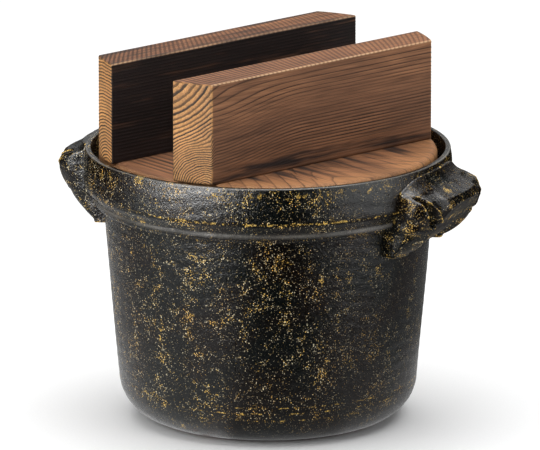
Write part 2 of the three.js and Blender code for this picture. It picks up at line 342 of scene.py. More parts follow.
def amber_film(place, edge, grit):
    """Amber where the glaze runs thin: along the edges and in ragged blots."""
    away, chance, _, _ = place.stretch(BLOT_CELLS).cells(1)
    reach = chance.remap(0.50, 1.0, -0.2, 0.17) + grit.remap(0.3, 0.7, -0.09, 0.09)
    breaks = place.noise(240, 3, 0.65)
    blots = (reach - away).remap(0.0, 0.04) * breaks.remap(0.42, 0.56)
    film = (edge + breaks.remap(0.30, 0.70, -0.55, 0.45)).remap(0.70, 1.05)
    return film.math("MAXIMUM", blots) * grit.remap(0.42, 0.58, 0.05, 1.0)


def speck_tint(clouds, gather, edge, tint_chance):
    """Gold to straw, with some rust in the clouds of the glaze."""
    warmth = tint_chance - edge * 0.5 - gather.remap(0.0, 1.2, 0.0, 0.5)
    amber = warmth.remap(0.0, 0.7).mix(GOLD, STRAW)
    return clouds.remap(0.46, 0.62, 0.0, 0.40).mix(amber, tint_chance.mix(RUST, amber))


def glaze_relief(place):
    """Soft orange peel, faint turning lines and a sandy tooth."""
    peel = place.noise(210, 3, 0.55).bump(0.35, 0.0010)
    combed = place.stretch((70, 70, 700)).noise(1, 3, 0.6).bump(0.12, 0.0006, peel)
    return place.noise(GRIT_SCALE, 1, 0.5).bump(0.7, 0.0004, combed)


def glaze(name):
    material, tree, shader = new_material(name)
    place = object_place(tree)
    layers = ("edge", "bare", "dry", "clear", "pale")
    edge, bare, dry, clear, pale = (attribute(tree, layer) for layer in layers)
    clouds = place.noise(24, 3, 0.55)
    grit = place.noise(GRIT_SCALE, 2, 0.7)
    runs = place.stretch((80, 80, 30)).noise(1, 4, 0.65).remap(0.40, 0.72, -0.6, 0.8)
    nests = place.noise(140, 2, 0.6).remap(0.42, 0.66, -0.6, 1.0)
    gather = runs + nests + edge
    fine, tint_chance = fine_specks(place, gather, clear)
    film = amber_film(place, edge, grit)

    body = clouds.remap(0.42, 0.60).mix(INK, TAR)
    colour = fine.mix(body, speck_tint(clouds, gather, edge, tint_chance))
    colour = film.mix(colour, GOLD)
    # Painted highlight: a light grey line on the lip and the rim crest
    crest = pale * grit.remap(0.35, 0.65, 0.55, 1.0)
    colour = crest.mix(colour, HIGHLIGHT_GREY)
    bare.mix(colour, CLAY).to(shader, "Base Color")

    rough = place.noise(300, 3, 0.6).remap(0.35, 0.70, 0.10, 0.20)
    rough = rough + fine.math("MAXIMUM", film) * 0.12 + dry * 0.35 + bare * 0.45
    rough.to(shader, "Roughness")
    glaze_relief(place).to(shader, "Normal")
    shader.inputs["Specular IOR Level"].default_value = 0.5
    return material


# Cedar: dark latewood lines from the ring count that each mesh carries

PALE_WOOD = (0.30, 0.143, 0.068)
FLAT_WOOD = (0.255, 0.121, 0.060)
MID_WOOD = (0.20, 0.092, 0.046)
DARK_WOOD = (0.060, 0.027, 0.015)
LINE_WOOD = (0.006, 0.003, 0.002)
RING_STOPS = [(0.0, PALE_WOOD), (0.45, FLAT_WOOD), (0.62, MID_WOOD), (0.72, DARK_WOOD),
              (0.78, LINE_WOOD), (0.95, LINE_WOOD), (1.0, PALE_WOOD)]
# Light wood of the battens' front top arris: wear with a painted highlight
WORN_AND_LIT_WOOD = (0.58, 0.36, 0.20, 1)
FIBRE_TONES = ((0.68, 0.66, 0.64, 1), (1.20, 1.20, 1.20, 1))
STAIN_TONES = ((0.80, 0.79, 0.80, 1), (1.14, 1.12, 1.09, 1))
END_TONE = (2.00, 2.18, 1.55, 1)
SAW_TONE = (0.20, 0.17, 0.16, 1)
# Tints of charring, also of the painted shade on the rear batten's front face
SCORCH_AND_SHADE_TONE = (0.030, 0.050, 0.120, 1)
ASH_AND_SHADE = (0.014, 0.008, 0.006, 1)


def year_rings(grain, ring, thin):
    """The wood's colour from its ring count, and how far through its ring each point lies."""
    wander = grain.stretch((22, 240, 240)).noise(1, 2, 0.5).remap(0, 1, -0.14, 0.14)
    count = ring + wander.math("DIVIDE", thin.math("MAXIMUM", 1.0))
    phase = count.math("FRACT").math("POWER", thin)
    season = count.made("TexWhiteNoise", {"W": count.math("FLOOR")}, noise_dimensions="1D")
    even = season.remap(0.0, 1.0, 0.30, 0.0)
    return even.mix(phase.ramp(RING_STOPS), (*MID_WOOD, 1)), phase


def saw_cuts(grain, stroke):
    """Strokes of the saw across the grain, broken by the wood, from 0 to 1."""
    wave = (stroke * (2 * math.pi)).math("SINE")
    scar = grain.stretch((260, 60, 60)).noise(1, 2, 0.6)
    return (wave + scar.remap(0.3, 0.7, -0.4, 0.4)).remap(-0.2, 0.5)


def charred_and_shaded(grain, wood, phase, scorch):
    """The wood darkened by charring and by painted shade, ashy between the hard lines."""
    ash = grain.stretch((130, 900, 900)).noise(1, 3, 0.7).remap(0.50, 0.75)
    ash = ash * phase.remap(0.50, 0.80, 1.0, 0.1)
    flames = grain.stretch((14, 170, 170)).noise(1, 3, 0.6)
    burn_and_shade = (scorch + flames.remap(0.32, 0.68, -0.32, 0.32)).remap(0.15, 0.80, 0.0, 0.97)
    return burn_and_shade.mix(wood, ash.mix(wood.tinted(SCORCH_AND_SHADE_TONE), ASH_AND_SHADE))


def cedar(name):
    material, tree, shader = new_material(name)
    grain = attribute(tree, "grain", "Vector")
    layers = ("ring", "thin", "scorch", "end", "plain", "saw", "worn", "stroke")
    ring, thin, scorch, end, plain, saw, worn, stroke = (attribute(tree, layer) for layer in layers)

    wood, phase = year_rings(grain, ring, thin)
    wood = plain.mix(wood, (*MID_WOOD, 1))
    patch = grain.stretch((12, 45, 45)).noise(1, 2, 0.5)
    faint = patch.remap(0.40, 0.62, 0.35, 0.0) * (1.0 - end)
    wood = faint.mix(wood, (*MID_WOOD, 1))
    fibre = grain.stretch((40, 1500, 1500)).noise(1, 3, 0.65)
    wood = wood.tinted(fibre.remap(0.30, 0.70).mix(*FIBRE_TONES))
    wood = wood.tinted(patch.remap(0.35, 0.65).mix(*STAIN_TONES))
    wood = end.mix(wood, wood.tinted(END_TONE))

    cut = saw_cuts(grain, stroke)
    marks = cut * saw
    wood = marks.mix(wood, wood.tinted(SAW_TONE))
    # Front top arris lighter: wear with a painted highlight
    rubbed = worn * cut.remap(0, 1, 1.0, 0.45)
    wood = rubbed.mix(wood, WORN_AND_LIT_WOOD)
    # Charring, with painted shade on the rear batten's front face
    charred_and_shaded(grain, wood, phase, scorch).to(shader, "Base Color")

    ridges = phase.remap(0.55, 0.92).bump(0.35, 0.0004)
    combed = fibre.bump(0.35, 0.0003, ridges)
    (1.0 - marks).bump(0.6, 0.0004, combed).to(shader, "Normal")
    shader.inputs["Roughness"].default_value = 0.62
    shader.inputs["Specular IOR Level"].default_value = 0.22
    return material


def bamboo(name):
    material, tree, shader = new_material(name)
    fibre = object_place(tree).stretch((1200, 90, 1200)).noise(1, 3, 0.6)
    fibre.ramp([(0.30, (0.42, 0.25, 0.08)), (0.70, (0.72, 0.52, 0.23))]).to(shader, "Base Color")
    fibre.bump(0.3, 0.0002).to(shader, "Normal")
    shader.inputs["Roughness"].default_value = 0.5
    return material


# Pot

SWELL = 0.28
SWELL_SIZE = 34.0
THROW_PITCH = 6.5
THROW_DEPTH = 0.05
THROW_DRIFT = 40.0
TRIM_TOP = 30.0
TRIM_PITCH = 1.9
TRIM_DEPTH = 0.10
TRIM_PATCH = 18.0
FLAT_FOOT = 0.5
# Heights where the glaze runs thin, with the spread and strength of the amber there
RIM_AMBER = (POT_HEIGHT - 4.0, 4.0, 0.50)
RIDGE_AMBER = (RIDGE_HEIGHT, 0.8, 1.05)
LIP_AMBER = (LIP_HEIGHT + 1.0, 1.2, 0.50)
BASE_AMBER = [(16.5, 0.6, 0.60), (20.5, 0.5, 0.98), (24.0, 0.5, 0.85)]
INSIDE_AMBER_ROWS = 8
# Side of the pot with less amber: its angle, spread and share
PLAIN_SIDE = (math.radians(-150), 0.8, 0.6)
# Heights of the lip and the rim crest where a light grey highlight is painted all round, with their
# spread and strength
LIP_HIGHLIGHT = (LIP_HEIGHT + 2.6, 1.1, 0.60)
RIM_HIGHLIGHT = (POT_HEIGHT, 0.45, 0.80)
HIGHLIGHT_PATCH = 12.0
# Stretches with hardly any specks: part of the collar's face, the lip, one side and the base
CLEAR_FACE = (math.radians(-44), math.radians(-6), math.radians(5))
CLEAR_LIP = (LIP_HEIGHT + 1.8, 2.0)
CLEAR_SIDE = (math.radians(-42), math.radians(40), math.radians(10))
CLEAR_BASE = (19.0, 13.0)
CLEAR_SHARES = (0.75, 0.9, 0.6, 0.7)
# Bare clay: the foot's edge, and a rubbed patch with its angle, spread, level and share
BARE_FOOT = (1.2, 0.4)
BARE_ANGLE = math.radians(-95)
BARE_SPREAD = 8.0
BARE_LEVEL = (4.0, 3.0)
BARE_SHARE = 0.8
BARE_PATCH = 5.0


def pot_skin():
    """The outer profile, from the foot's edge to the rim crest."""
    corner = arc((FOOT_RADIUS, BASE_CORNER), BASE_CORNER, -math.pi / 2, -WALL_ANGLE, 34)
    neck = (NECK_RADIUS, NECK_HEIGHT)
    lip_foot = LIP_HEIGHT - LIP_ROUND / 2
    lip_in = (LIP_RADIUS - LIP_ROUND, lip_foot)
    lip_side = (LIP_RADIUS, LIP_HEIGHT + LIP_ROUND / 2)
    lip_top = (LIP_RADIUS, lip_side[1] + LIP_FACE)
    ridge_in = (COLLAR_RADIUS - RIDGE_ROUND / 2, RIDGE_HEIGHT - RIDGE_ROUND)
    ridge_out = (COLLAR_RADIUS, RIDGE_HEIGHT + RIDGE_ROUND)
    bend = (COLLAR_RADIUS, POT_HEIGHT - COLLAR_BEND)
    face_top = (COLLAR_RADIUS - COLLAR_LEAN, POT_HEIGHT - RIM_ROUND)
    rim_top = (COLLAR_RADIUS - COLLAR_LEAN - RIM_ROUND, POT_HEIGHT)
    foot = line((CAP_RADIUS, 0), (FOOT_RADIUS, 0), FOOT_STEP)
    return foot + corner[:-1] + path(corner[-1], [
        (neck, SKIN_STEP),
        ((NECK_RADIUS, lip_foot), lip_in, 5),
        ((LIP_RADIUS, lip_foot), lip_side, 5),
        (lip_top, LIP_FACE / 6),
        (ridge_in, SKIN_STEP),
        ((COLLAR_RADIUS, RIDGE_HEIGHT), ridge_out, 5),
        (bend, SKIN_STEP),
        ((COLLAR_RADIUS, POT_HEIGHT - COLLAR_BEND / 2), face_top, 12),
        ((COLLAR_RADIUS - COLLAR_LEAN, POT_HEIGHT), rim_top, 5)])


def pot_inside():
    """The inner profile, from the rim crest over the lid ledge to the middle of the floor."""
    floor_radius = WALL_FOOT_RADIUS - WALL - INNER_CORNER
    corner_middle = (floor_radius, BASE_THICKNESS + INNER_CORNER)
    corner = arc(corner_middle, INNER_CORNER, -WALL_ANGLE, -math.pi / 2, 14)
    rim_top = (COLLAR_RADIUS - COLLAR_LEAN - RIM_ROUND, POT_HEIGHT)
    rim_in = (RIM_INNER_RADIUS + RIM_IN_ROUND, POT_HEIGHT)
    rim_foot = (RIM_INNER_RADIUS, POT_HEIGHT - RIM_IN_ROUND)
    ledge_out = (RIM_INNER_RADIUS, LEDGE_HEIGHT + LEDGE_ROUND)
    ledge_back = (RIM_INNER_RADIUS - LEDGE_ROUND, LEDGE_HEIGHT)
    ledge_in = (MOUTH_RADIUS + LEDGE_ROUND, LEDGE_HEIGHT)
    mouth = (MOUTH_RADIUS, LEDGE_HEIGHT - LEDGE_ROUND)
    floor_edge = (floor_radius - INSIDE_STEP, BASE_THICKNESS)
    inside = path(rim_top, [
        (rim_in, RIM_STEP),
        ((RIM_INNER_RADIUS, POT_HEIGHT), rim_foot, 5),
        (ledge_out, INSIDE_STEP),
        ((RIM_INNER_RADIUS, LEDGE_HEIGHT), ledge_back, 4),
        (ledge_in, INSIDE_STEP),
        ((MOUTH_RADIUS, LEDGE_HEIGHT), mouth, 4),
        ((MOUTH_RADIUS, NECK_HEIGHT), INSIDE_STEP),
        (corner[0], INSIDE_STEP)])
    return inside + corner + line(floor_edge, (CAP_RADIUS, BASE_THICKNESS), FLOOR_STEP)


def thrown(angle, height):
    """How far the hand-thrown skin stands out from the true round there."""
    around = (math.cos(angle) * NECK_RADIUS, math.sin(angle) * NECK_RADIUS, height)
    swell = noise.noise(Vector(around) / SWELL_SIZE)
    drift = noise.noise(Vector((around[0], around[1], 0)) / THROW_DRIFT)
    rings = math.sin(2 * math.pi * (height / THROW_PITCH + drift))
    trim = math.sin(2 * math.pi * (height / TRIM_PITCH + 0.4 * drift))
    trimmed = max(0.0, 1 - height / TRIM_TOP) * (0.4 + 0.6 * noise.noise(Vector(around) / TRIM_PATCH))
    return SWELL * swell + THROW_DEPTH * rings + TRIM_DEPTH * trim * trimmed


def revolve(profile, turns):
    """Vertices and faces of a profile turned about Z, with a flat cap on both ends."""
    profile = np.array(profile)
    angles = np.arange(turns) * 2 * math.pi / turns
    around = np.stack((np.cos(angles), np.sin(angles)), 1)
    rings = profile[:, None, :1] * around[None]
    heights = np.repeat(profile[:, 1:, None], turns, 1)
    points = np.concatenate((rings, heights), 2).reshape(-1, 3)
    return points, ring_faces(len(profile), turns)


def pot_amber(angle, height, outside):
    """Where the glaze runs thin over the edges, down to a little way inside the rim."""
    edge = np.zeros(len(height))
    for level, width, strength in [RIM_AMBER, RIDGE_AMBER, LIP_AMBER, *BASE_AMBER]:
        edge = np.maximum(edge, strength * bell(height, level, width))
    edge[outside + INSIDE_AMBER_ROWS * POT_TURNS:] = 0
    side, spread, share = PLAIN_SIDE
    return edge * (1 - share * bell(angle, side, spread))


def pot_bare(points, radius, angle, outside):
    """Where the clay is bare: on the foot's edge and in one rubbed patch near it."""
    height = points[:, 2]
    patch = bell(radius * (angle - BARE_ANGLE), 0, BARE_SPREAD) * bell(height, *BARE_LEVEL)
    patch *= smoothstep(-0.2, 0.3, noise_field(points, BARE_PATCH, 3))
    bare = np.clip(smoothstep(*BARE_FOOT, height) + BARE_SHARE * patch, 0, 1)
    bare[outside:] = 0
    return bare


def pot_pale(points, outside):
    """Painted highlight on the lip and the rim crest, in patches."""
    pale = np.zeros(len(points))
    for level, width, strength in (LIP_HIGHLIGHT, RIM_HIGHLIGHT):
        pale[:outside] += strength * bell(points[:outside, 2], level, width)
    return pale * (0.55 + 0.45 * smoothstep(-0.6, 0.6, noise_field(points, HIGHLIGHT_PATCH, 6)))


def pot_clear(angle, height):
    """Where the glaze has hardly any specks."""
    stretches = (
        window(angle, *CLEAR_FACE) * smoothstep(RIDGE_HEIGHT, RIDGE_HEIGHT + 3, height),
        bell(height, *CLEAR_LIP),
        window(angle, *CLEAR_SIDE),
        smoothstep(*CLEAR_BASE, height))
    return np.max([share * stretch for share, stretch in zip(CLEAR_SHARES, stretches)], 0)


def pot_body(material):
    skin = pot_skin()
    points, faces = revolve(skin + pot_inside(), POT_TURNS)
    outside = len(skin) * POT_TURNS
    radius = np.hypot(points[:, 0], points[:, 1])
    angle = np.arctan2(points[:, 1], points[:, 0])
    height = points[:, 2]
    for i in range(outside):
        if height[i] > FLAT_FOOT:
            points[i, :2] *= 1 + thrown(angle[i], height[i]) / radius[i]
    piece = make_piece("pot_shell", points, faces, material)
    write_layers(
        piece,
        edge=pot_amber(angle, height, outside),
        bare=pot_bare(points, radius, angle, outside),
        pale=pot_pale(points, outside),
        clear=pot_clear(angle, height))
    dress(piece, "pot", "pot_glaze", "pot_body")


# Lugs

LUG_WIDTH = 74.0
LUG_REACH = 19.0
LUG_TOP_DROP = 2.5
LUG_TOP_PROUD = 0.8
LUG_CREST_DROP = 14.5
LUG_BAND = 3.5
LUG_BAND_LEAN = 2.0
LUG_BULGE = 7.5
LUG_SHELF_DIP = 2.5
LUG_FOOT_DROP = 49.0
LUG_FOOT_PROUD = 9.0
LUG_FOOT_ROUND = 2.0
LUG_ROOT = 6.0
LUG_COVER = 2.0
LUG_END_PROUD = 7.0
LUG_END_SAG = 7.0
LUG_RIM_DROP = 2.5
PINCH_SPACING = 61.0
PINCH_SLANT = 0.65
PINCH_WIDTH = 4.6
PINCH_DEPTH = 8.0
PINCH_RUN = 17.0
PINCH_LEAD = 5.0
PINCH_LIP = 1.2
PINCH_LIP_WIDTH = 1.3
DENT_PLACE = 22.5
DENT_WIDTH = 11.0
DENT_HEIGHT = 9.0
DENT_DEPTH = 3.0
HOLLOW_WIDTH = 48.0
HOLLOW_DEPTH = 7.0
HOLLOW_EDGE = 2.0
HOLLOW_EASE = 14.0
ARCH_FALL = 16.0
ARCH_POWER = 3.5
LEFT_LUG_TURN = math.radians(178)
LEFT_LUG_LIFT = 4.0
LEFT_LUG_STRETCH = 1.1
LUG_STATIONS = 170
LUG_VOXEL = 0.55
LUG_ROUNDS = 1
LUG_LUMP = 0.22
LUMP_SIZES = (9.0, 3.5)
CREASE_ROUNDS = 40
EDGE_GAIN = 1.7
EDGE_START = 0.35
EDGE_MOST = 1.3
LEG_PLACE = 24.0
LEG_SOFT = 4.0
RIGHT_LEG_GOLD = 0.40
LEFT_LEG_GOLD = 0.1
SHELF_CLEAR = 0.75


def skin_radius(height):
    outline = np.array([p for p in pot_skin() if p[0] > FOOT_RADIUS])
    return np.interp(height, outline[:, 1], outline[:, 0])


def lug_section():
    """The lug's middle section: sloping top, leaning band, round underside, blunt foot."""
    foot = POT_HEIGHT - LUG_FOOT_DROP
    wall = float(skin_radius(foot))
    root = wall - LUG_ROOT
    reach = COLLAR_RADIUS + LUG_REACH
    foot_edge = np.array((wall + LUG_FOOT_PROUD, foot + LUG_FOOT_ROUND))
    crest = np.array((reach - LUG_BAND_LEAN, POT_HEIGHT - LUG_CREST_DROP))
    band_foot = np.array((reach, POT_HEIGHT - LUG_CREST_DROP - LUG_BAND))
    top = np.array((COLLAR_RADIUS + LUG_TOP_PROUD, POT_HEIGHT - LUG_TOP_DROP))
    under = (foot_edge + band_foot) / 2 + (LUG_BULGE, -LUG_BULGE)
    shelf = (crest + top) / 2 - LUG_SHELF_DIP
    foot_flat = (foot_edge[0] - LUG_FOOT_ROUND, foot)
    return np.array(path((root, foot), [
        (foot_flat, 1.2),
        ((foot_edge[0], foot), foot_edge, 4),
        (under, band_foot, 60),
        (crest, 0.6),
        (shelf, top, 30),
        ((root, top[1]), 1.5),
        ((root, foot), 2.0)]))


def dip(distance, width):
    return np.maximum(0, 1 - np.abs(distance) / (width / 2))


def lean_station(station, drop):
    """Where a station along the lug lies at a drop below the rim, leaning with the pinches."""
    side = np.abs(station)
    half = LUG_WIDTH / 2
    pinch = PINCH_SPACING / 2
    leaned = pinch - PINCH_SLANT * np.clip(drop - LUG_CREST_DROP, -PINCH_LEAD, PINCH_RUN)
    inner = side / pinch * leaned
    outer = leaned + (side - pinch) / (half - pinch) * (half - leaned)
    return np.sign(station) * np.where(side < pinch, inner, outer)


def pinch_depth(station, drop):
    """Depth of the two slots pressed into the crest, less the low lips raised beside them."""
    below = drop - LUG_CREST_DROP
    away = np.abs(station) - PINCH_SPACING / 2
    run = smoothstep(-PINCH_LEAD, 0, below) * smoothstep(PINCH_RUN, PINCH_RUN - PINCH_LEAD, below)
    lip = PINCH_LIP * bell(np.abs(away), PINCH_WIDTH * 0.65, PINCH_LIP_WIDTH)
    return run * (PINCH_DEPTH * np.sqrt(dip(away, PINCH_WIDTH)) - lip)


def hollow_depth(along, drop):
    """Depth of the arched finger hollow under the band."""
    side = np.abs(along)
    half = HOLLOW_WIDTH / 2
    arch = LUG_CREST_DROP + LUG_BAND + ARCH_FALL * (side / half) ** ARCH_POWER
    inward = smoothstep(0, HOLLOW_EDGE, half - side)
    return HOLLOW_DEPTH * inward * smoothstep(0, HOLLOW_EASE, drop - arch)


def dent_depth(along, drop):
    """Depth of the thumb dents beside the pinches."""
    around = dip(np.abs(along) - DENT_PLACE, DENT_WIDTH) * dip(drop - LUG_CREST_DROP, DENT_HEIGHT)
    return DENT_DEPTH * np.sqrt(around)


def model_lug(radius, height, station):
    """Points of the straight lug moved to its pinched, dented and hollowed form."""
    drop = POT_HEIGHT - height
    along = lean_station(station, drop)
    end = np.abs(along) / (LUG_WIDTH / 2)
    skin = skin_radius(height)
    proud = radius - skin
    rise = smoothstep(LUG_CREST_DROP, LUG_TOP_DROP, drop)
    fullness = np.sqrt(np.maximum(0, 1 - end ** 4))
    full = np.minimum(proud, LUG_END_PROUD) + np.maximum(0, proud - LUG_END_PROUD) * fullness
    full = full - pinch_depth(station, drop) - hollow_depth(along, drop) - dent_depth(along, drop)
    new_radius = np.where(proud > 0, skin + np.maximum(full, 0), radius)
    return new_radius, height - LUG_END_SAG * end ** 4 * rise, along


def neighbours_mean(values, edges, rounds):
    """The values spread over the mesh by averaging each with its neighbours."""
    count = np.bincount(edges.ravel(), minlength=len(values)).astype(float)
    shape = (-1,) + (1,) * (values.ndim - 1)
    for _ in range(rounds):
        total = np.zeros_like(values)
        np.add.at(total, edges[:, 0], values[edges[:, 1]])
        np.add.at(total, edges[:, 1], values[edges[:, 0]])
        values = 0.4 * values + 0.6 * total / np.maximum(count, 1).reshape(shape)
    return values


def remeshed(piece, voxel):
    """The piece's mesh rebuilt as even small faces, as if modelled in clay."""
    modifier = piece.modifiers.new("clay", "REMESH")
    modifier.mode = "VOXEL"
    modifier.voxel_size = voxel * MM
    graph = bpy.context.evaluated_depsgraph_get()
    mesh = bpy.data.meshes.new_from_object(piece.evaluated_get(graph))
    piece.modifiers.clear()
    piece.data = mesh
    mesh.shade_smooth()
    return mesh


def root_limit(height):
    """The least radius at a height that keeps a lug's root buried in the rim and the wall."""
    inside = np.where(height > LEDGE_HEIGHT - LUG_COVER, RIM_INNER_RADIUS, MOUTH_RADIUS)
    return inside + LUG_COVER


def swept_lug(name, turn, lift, stretched, material):
    """The lug's section swept round the collar, centred on an angle."""
    section = lug_section()
    count = len(section)
    crest_height = POT_HEIGHT - LUG_CREST_DROP
    points = []
    for station in np.linspace(-LUG_WIDTH / 2, LUG_WIDTH / 2, LUG_STATIONS):
        radius, height, along = model_lug(section[:, 0], section[:, 1], np.full(count, station))
        angle = turn - along / COLLAR_RADIUS
        height = crest_height + (height - crest_height) * stretched + lift
        height = np.minimum(height, POT_HEIGHT - LUG_RIM_DROP)
        radius = np.maximum(radius, root_limit(height))
        points.append(np.stack((radius * np.cos(angle), radius * np.sin(angle), height), 1))
    return make_piece(name, np.concatenate(points), ring_faces(LUG_STATIONS, count, True), material)


def lug(name, node, turn, lift, stretched, gold, seed, material):
    piece = swept_lug(name, turn, lift, stretched, material)
    mesh = remeshed(piece, LUG_VOXEL)
    edges = read_rows(mesh.edges, "vertices", 2, np.int32)
    points = read_rows(mesh.vertices, "co", 3) / MM
    points = neighbours_mean(points.astype(float), edges, LUG_ROUNDS)
    large, small = (noise_field(points, size, seed) for size in LUMP_SIZES)
    lumps = LUG_LUMP * large + 0.5 * LUG_LUMP * small
    points = points + read_rows(mesh.vertex_normals, "vector", 3) * lumps[:, None]
    mesh.vertices.foreach_set("co", (points * MM).astype(np.float32).ravel())
    mesh.update()

    normals = read_rows(mesh.vertex_normals, "vector", 3)
    convexity = ((points - neighbours_mean(points, edges, CREASE_ROUNDS)) * normals).sum(1)
    edge = np.clip(EDGE_GAIN * convexity - EDGE_START, 0, EDGE_MOST)
    along = COLLAR_RADIUS * np.arctan2(points[:, 1], points[:, 0] * math.copysign(1, math.cos(turn)))
    leg = smoothstep(LEG_PLACE - LEG_SOFT, LEG_PLACE + LEG_SOFT, np.abs(along))
    facing_up = normals[:, 2]
    write_layers(
        piece,
        edge=np.maximum(edge, gold * leg),
        dry=smoothstep(0.1, 0.7, -facing_up),
        clear=SHELF_CLEAR * smoothstep(0.2, 0.6, facing_up))
    dress(piece, "pot", "lug_glaze", node)


# Lid

# Saw marks on the battens' tops: strength and its fade, pitch, slant on the front and rear one
SAW_LEAST = 0.60
SAW_MORE = 0.38
SAW_FADE = 60.0
SAW_PITCH = 3.4
SAW_SLANT = {1: 0.30, -1: 0.60}
# Ripples of the rings on the battens' ends
WARP = 0.8
WARP_SIZE = 6.0
CRINKLE = 0.35
CRINKLE_SIZE = 2.6
# Pith of the front batten above its top, with its widest and narrowest ring and how fast they narrow
PITH = (-25.4, 73.7)
PITH_WIDTHS = (6.2, 1.5, 0.085)
PITH_SHIFT = 0.48
PITH_RISE = (40, 56, 8.0)
PITH_RUN = 16.0
MORE_RINGS = (57, 33, 5.0)
MORE_RINGS_RUN = 75.0
# Knot low on the front batten's end, which the rings wrap round
KNOT = (8.0, -2.0)
KNOT_PITCH = 1.3
KNOT_LEVEL = 22.0
KNOT_TOP = (31, 17)
KNOT_RIPPLE_TOP = (30, 20)
KNOT_RUN = 0.8
# Pith of the rear batten, below it, and of the board behind the front batten
REAR_PITH = (5.0, -8.0)
REAR_PITCH = 1.8
REAR_RIPPLE = 0.4
BOARD_PITH = (-12.0, 65.0)
BOARD_PITCH = 3.4
BOARD_SLANT = 0.05
# Arches of the board in front of the front batten
ARCH_PITCH = 17.0
ARCH_SHIFT = 0.3
ARCH_SLOPES = (1.9, 1.15)
ARCH_PLACE = -21.0
ARCH_ROUND = 3.0
ARCH_RIPPLE = 1.2
ARCH_RIPPLE_SIZE = 26.0
PLANK_SHIFTS = (0.3, 0.0, 0.55)
RELIEF = 0.10
BATTEN_ALONG_STEP = 1.6
BATTEN_ACROSS_STEP = 0.55
# How far inside a batten's edges its faces begin and are whole
FACE_FADE = (0.8, 0.3)
TOP_FADE = (1.0, 0.3)
# Shares on the battens, with the heights or places between which they grow
FAR_FADE = (-20, 60, 0.18)
TOP_LIGHTER = (42, 54, 0.8)
# Front face darker towards its foot
FOOT_DARKENING = (12, 5, 0.35)
REAR_SCORCH = 0.5
# Most darkening from charring and painted shade
MOST_SCORCH_AND_SHADE = 0.97
FOOT_PLAIN = (11, 8, 0.9)
MIDDLE_PLAIN = (29, 43, 4)
MIDDLE_PLAIN_SHARE = 0.25
TOP_PLAIN = 0.75
END_LINES = 0.45
FRONT_LINES = 0.35
TOP_LINES = (26, 36, 0.95)
# Share of the front top arris lightened by wear and a painted highlight
WORN_AND_LIT_SHARE = 0.85
# Shares on the board, with the distances from its edge or places between which they grow
FRONT_EDGE = (22, 3)
FRONT_EDGE_SHARE = 0.2
RIM_EDGE = (3.0, 0.5, 0.4)
SIDE_EDGE = (12, 8, 0.85)
FRONT_SCORCH = 0.28
# Board darker towards the front batten's foot
NEAR_BATTEN_DARKENING = (76, 50, 0.20)
BOARD_FRONT_PLAIN = 0.40
BOARD_LINES = (3.0, 0.42)


def lid_place(points):
    """Points of the lid's own frame brought to the row frame."""
    c, s = math.cos(LID_TURN), math.sin(LID_TURN)
    x = c * points[:, 0] - s * points[:, 1]
    y = s * points[:, 0] + c * points[:, 1]
    return np.stack((x, y, points[:, 2] + LID_BOTTOM), 1)


def ring_count(distance, widest, narrowest, shrink):
    """Rings passed on the way out from a pith, narrowing steadily to the narrowest."""
    turn = (widest - narrowest) / shrink
    inner = -np.log(widest - shrink * np.minimum(distance, turn)) / shrink
    return inner + np.maximum(0, distance - turn) / narrowest


def end_ripple(across, up, along, seed):
    """Uneven ripples of the rings on a batten's end, fading out along it."""
    bent = np.stack((across, up, along / 8), 1)
    ripple = WARP * noise_field(bent, WARP_SIZE, seed)
    ripple += CRINKLE * noise_field(bent, CRINKLE_SIZE, seed + 1)
    return ripple * np.exp(-(along + BATTEN_HALF_LENGTH) / KNOT_RUN)


def pith_rings(across, up):
    """Ring count round the front batten's pith."""
    return PITH_SHIFT + ring_count(np.hypot(across - PITH[0], up - PITH[1]), *PITH_WIDTHS)


def front_rings(across, up, along):
    """Ring count in the front batten: wide rings round a pith above it, bent by a knot on its end."""
    from_end = along + BATTEN_HALF_LENGTH
    rise = fade(up, *PITH_RISE) * (1 - np.exp(-from_end / PITH_RUN))
    height = up + end_ripple(across, up, along, 2) * smoothstep(*KNOT_RIPPLE_TOP, up)
    out = np.hypot(across - KNOT[0], height - KNOT[1])
    knot = pith_rings(0, KNOT_LEVEL) + (math.hypot(KNOT[0], KNOT_LEVEL - KNOT[1]) - out) / KNOT_PITCH
    low = smoothstep(*KNOT_TOP, up) * np.exp(-from_end / KNOT_RUN)
    more = fade(up, *MORE_RINGS) * smoothstep(0, MORE_RINGS_RUN, from_end)
    return (1 - low) * (pith_rings(across, up - rise) + more) + low * knot


def rear_rings(across, up, along):
    """Ring count in the rear batten: arches round a pith below it."""
    height = up - REAR_PITH[1] + REAR_RIPPLE * end_ripple(across, up, along, 9)
    return np.hypot(across - REAR_PITH[0], height) / REAR_PITCH


def plank_rings(along, across, up):
    """Ring count in the board: straight lines, then wide arches that open forwards."""
    depth = BOARD_PITH[1] + up - BOARD_THICKNESS
    straight = np.hypot(across - BOARD_PITH[0] + BOARD_SLANT * along, depth) / BOARD_PITCH
    bent = np.stack((along, across, up), 1)
    ripple = ARCH_RIPPLE * noise_field(bent, ARCH_RIPPLE_SIZE, 4)
    aside = across - ARCH_PLACE
    spread = np.where(aside < 0, *ARCH_SLOPES) * (np.hypot(aside, ARCH_ROUND) - ARCH_ROUND)
    arches = (along + up - spread + ripple) / ARCH_PITCH + ARCH_SHIFT
    return np.where(along < BATTEN_OFFSET, straight, arches)


def stops(half, step, rounding):
    """Places across a face from -half to half, closer together over the rounded edges."""
    inner = half - rounding
    count = max(2, math.ceil(2 * inner / step) + 1)
    edge = rounding * np.array((0.3, 0.65, 1.0))
    middle = np.linspace(-inner, inner, count)
    return np.concatenate((-inner - edge[::-1], middle, inner + edge))


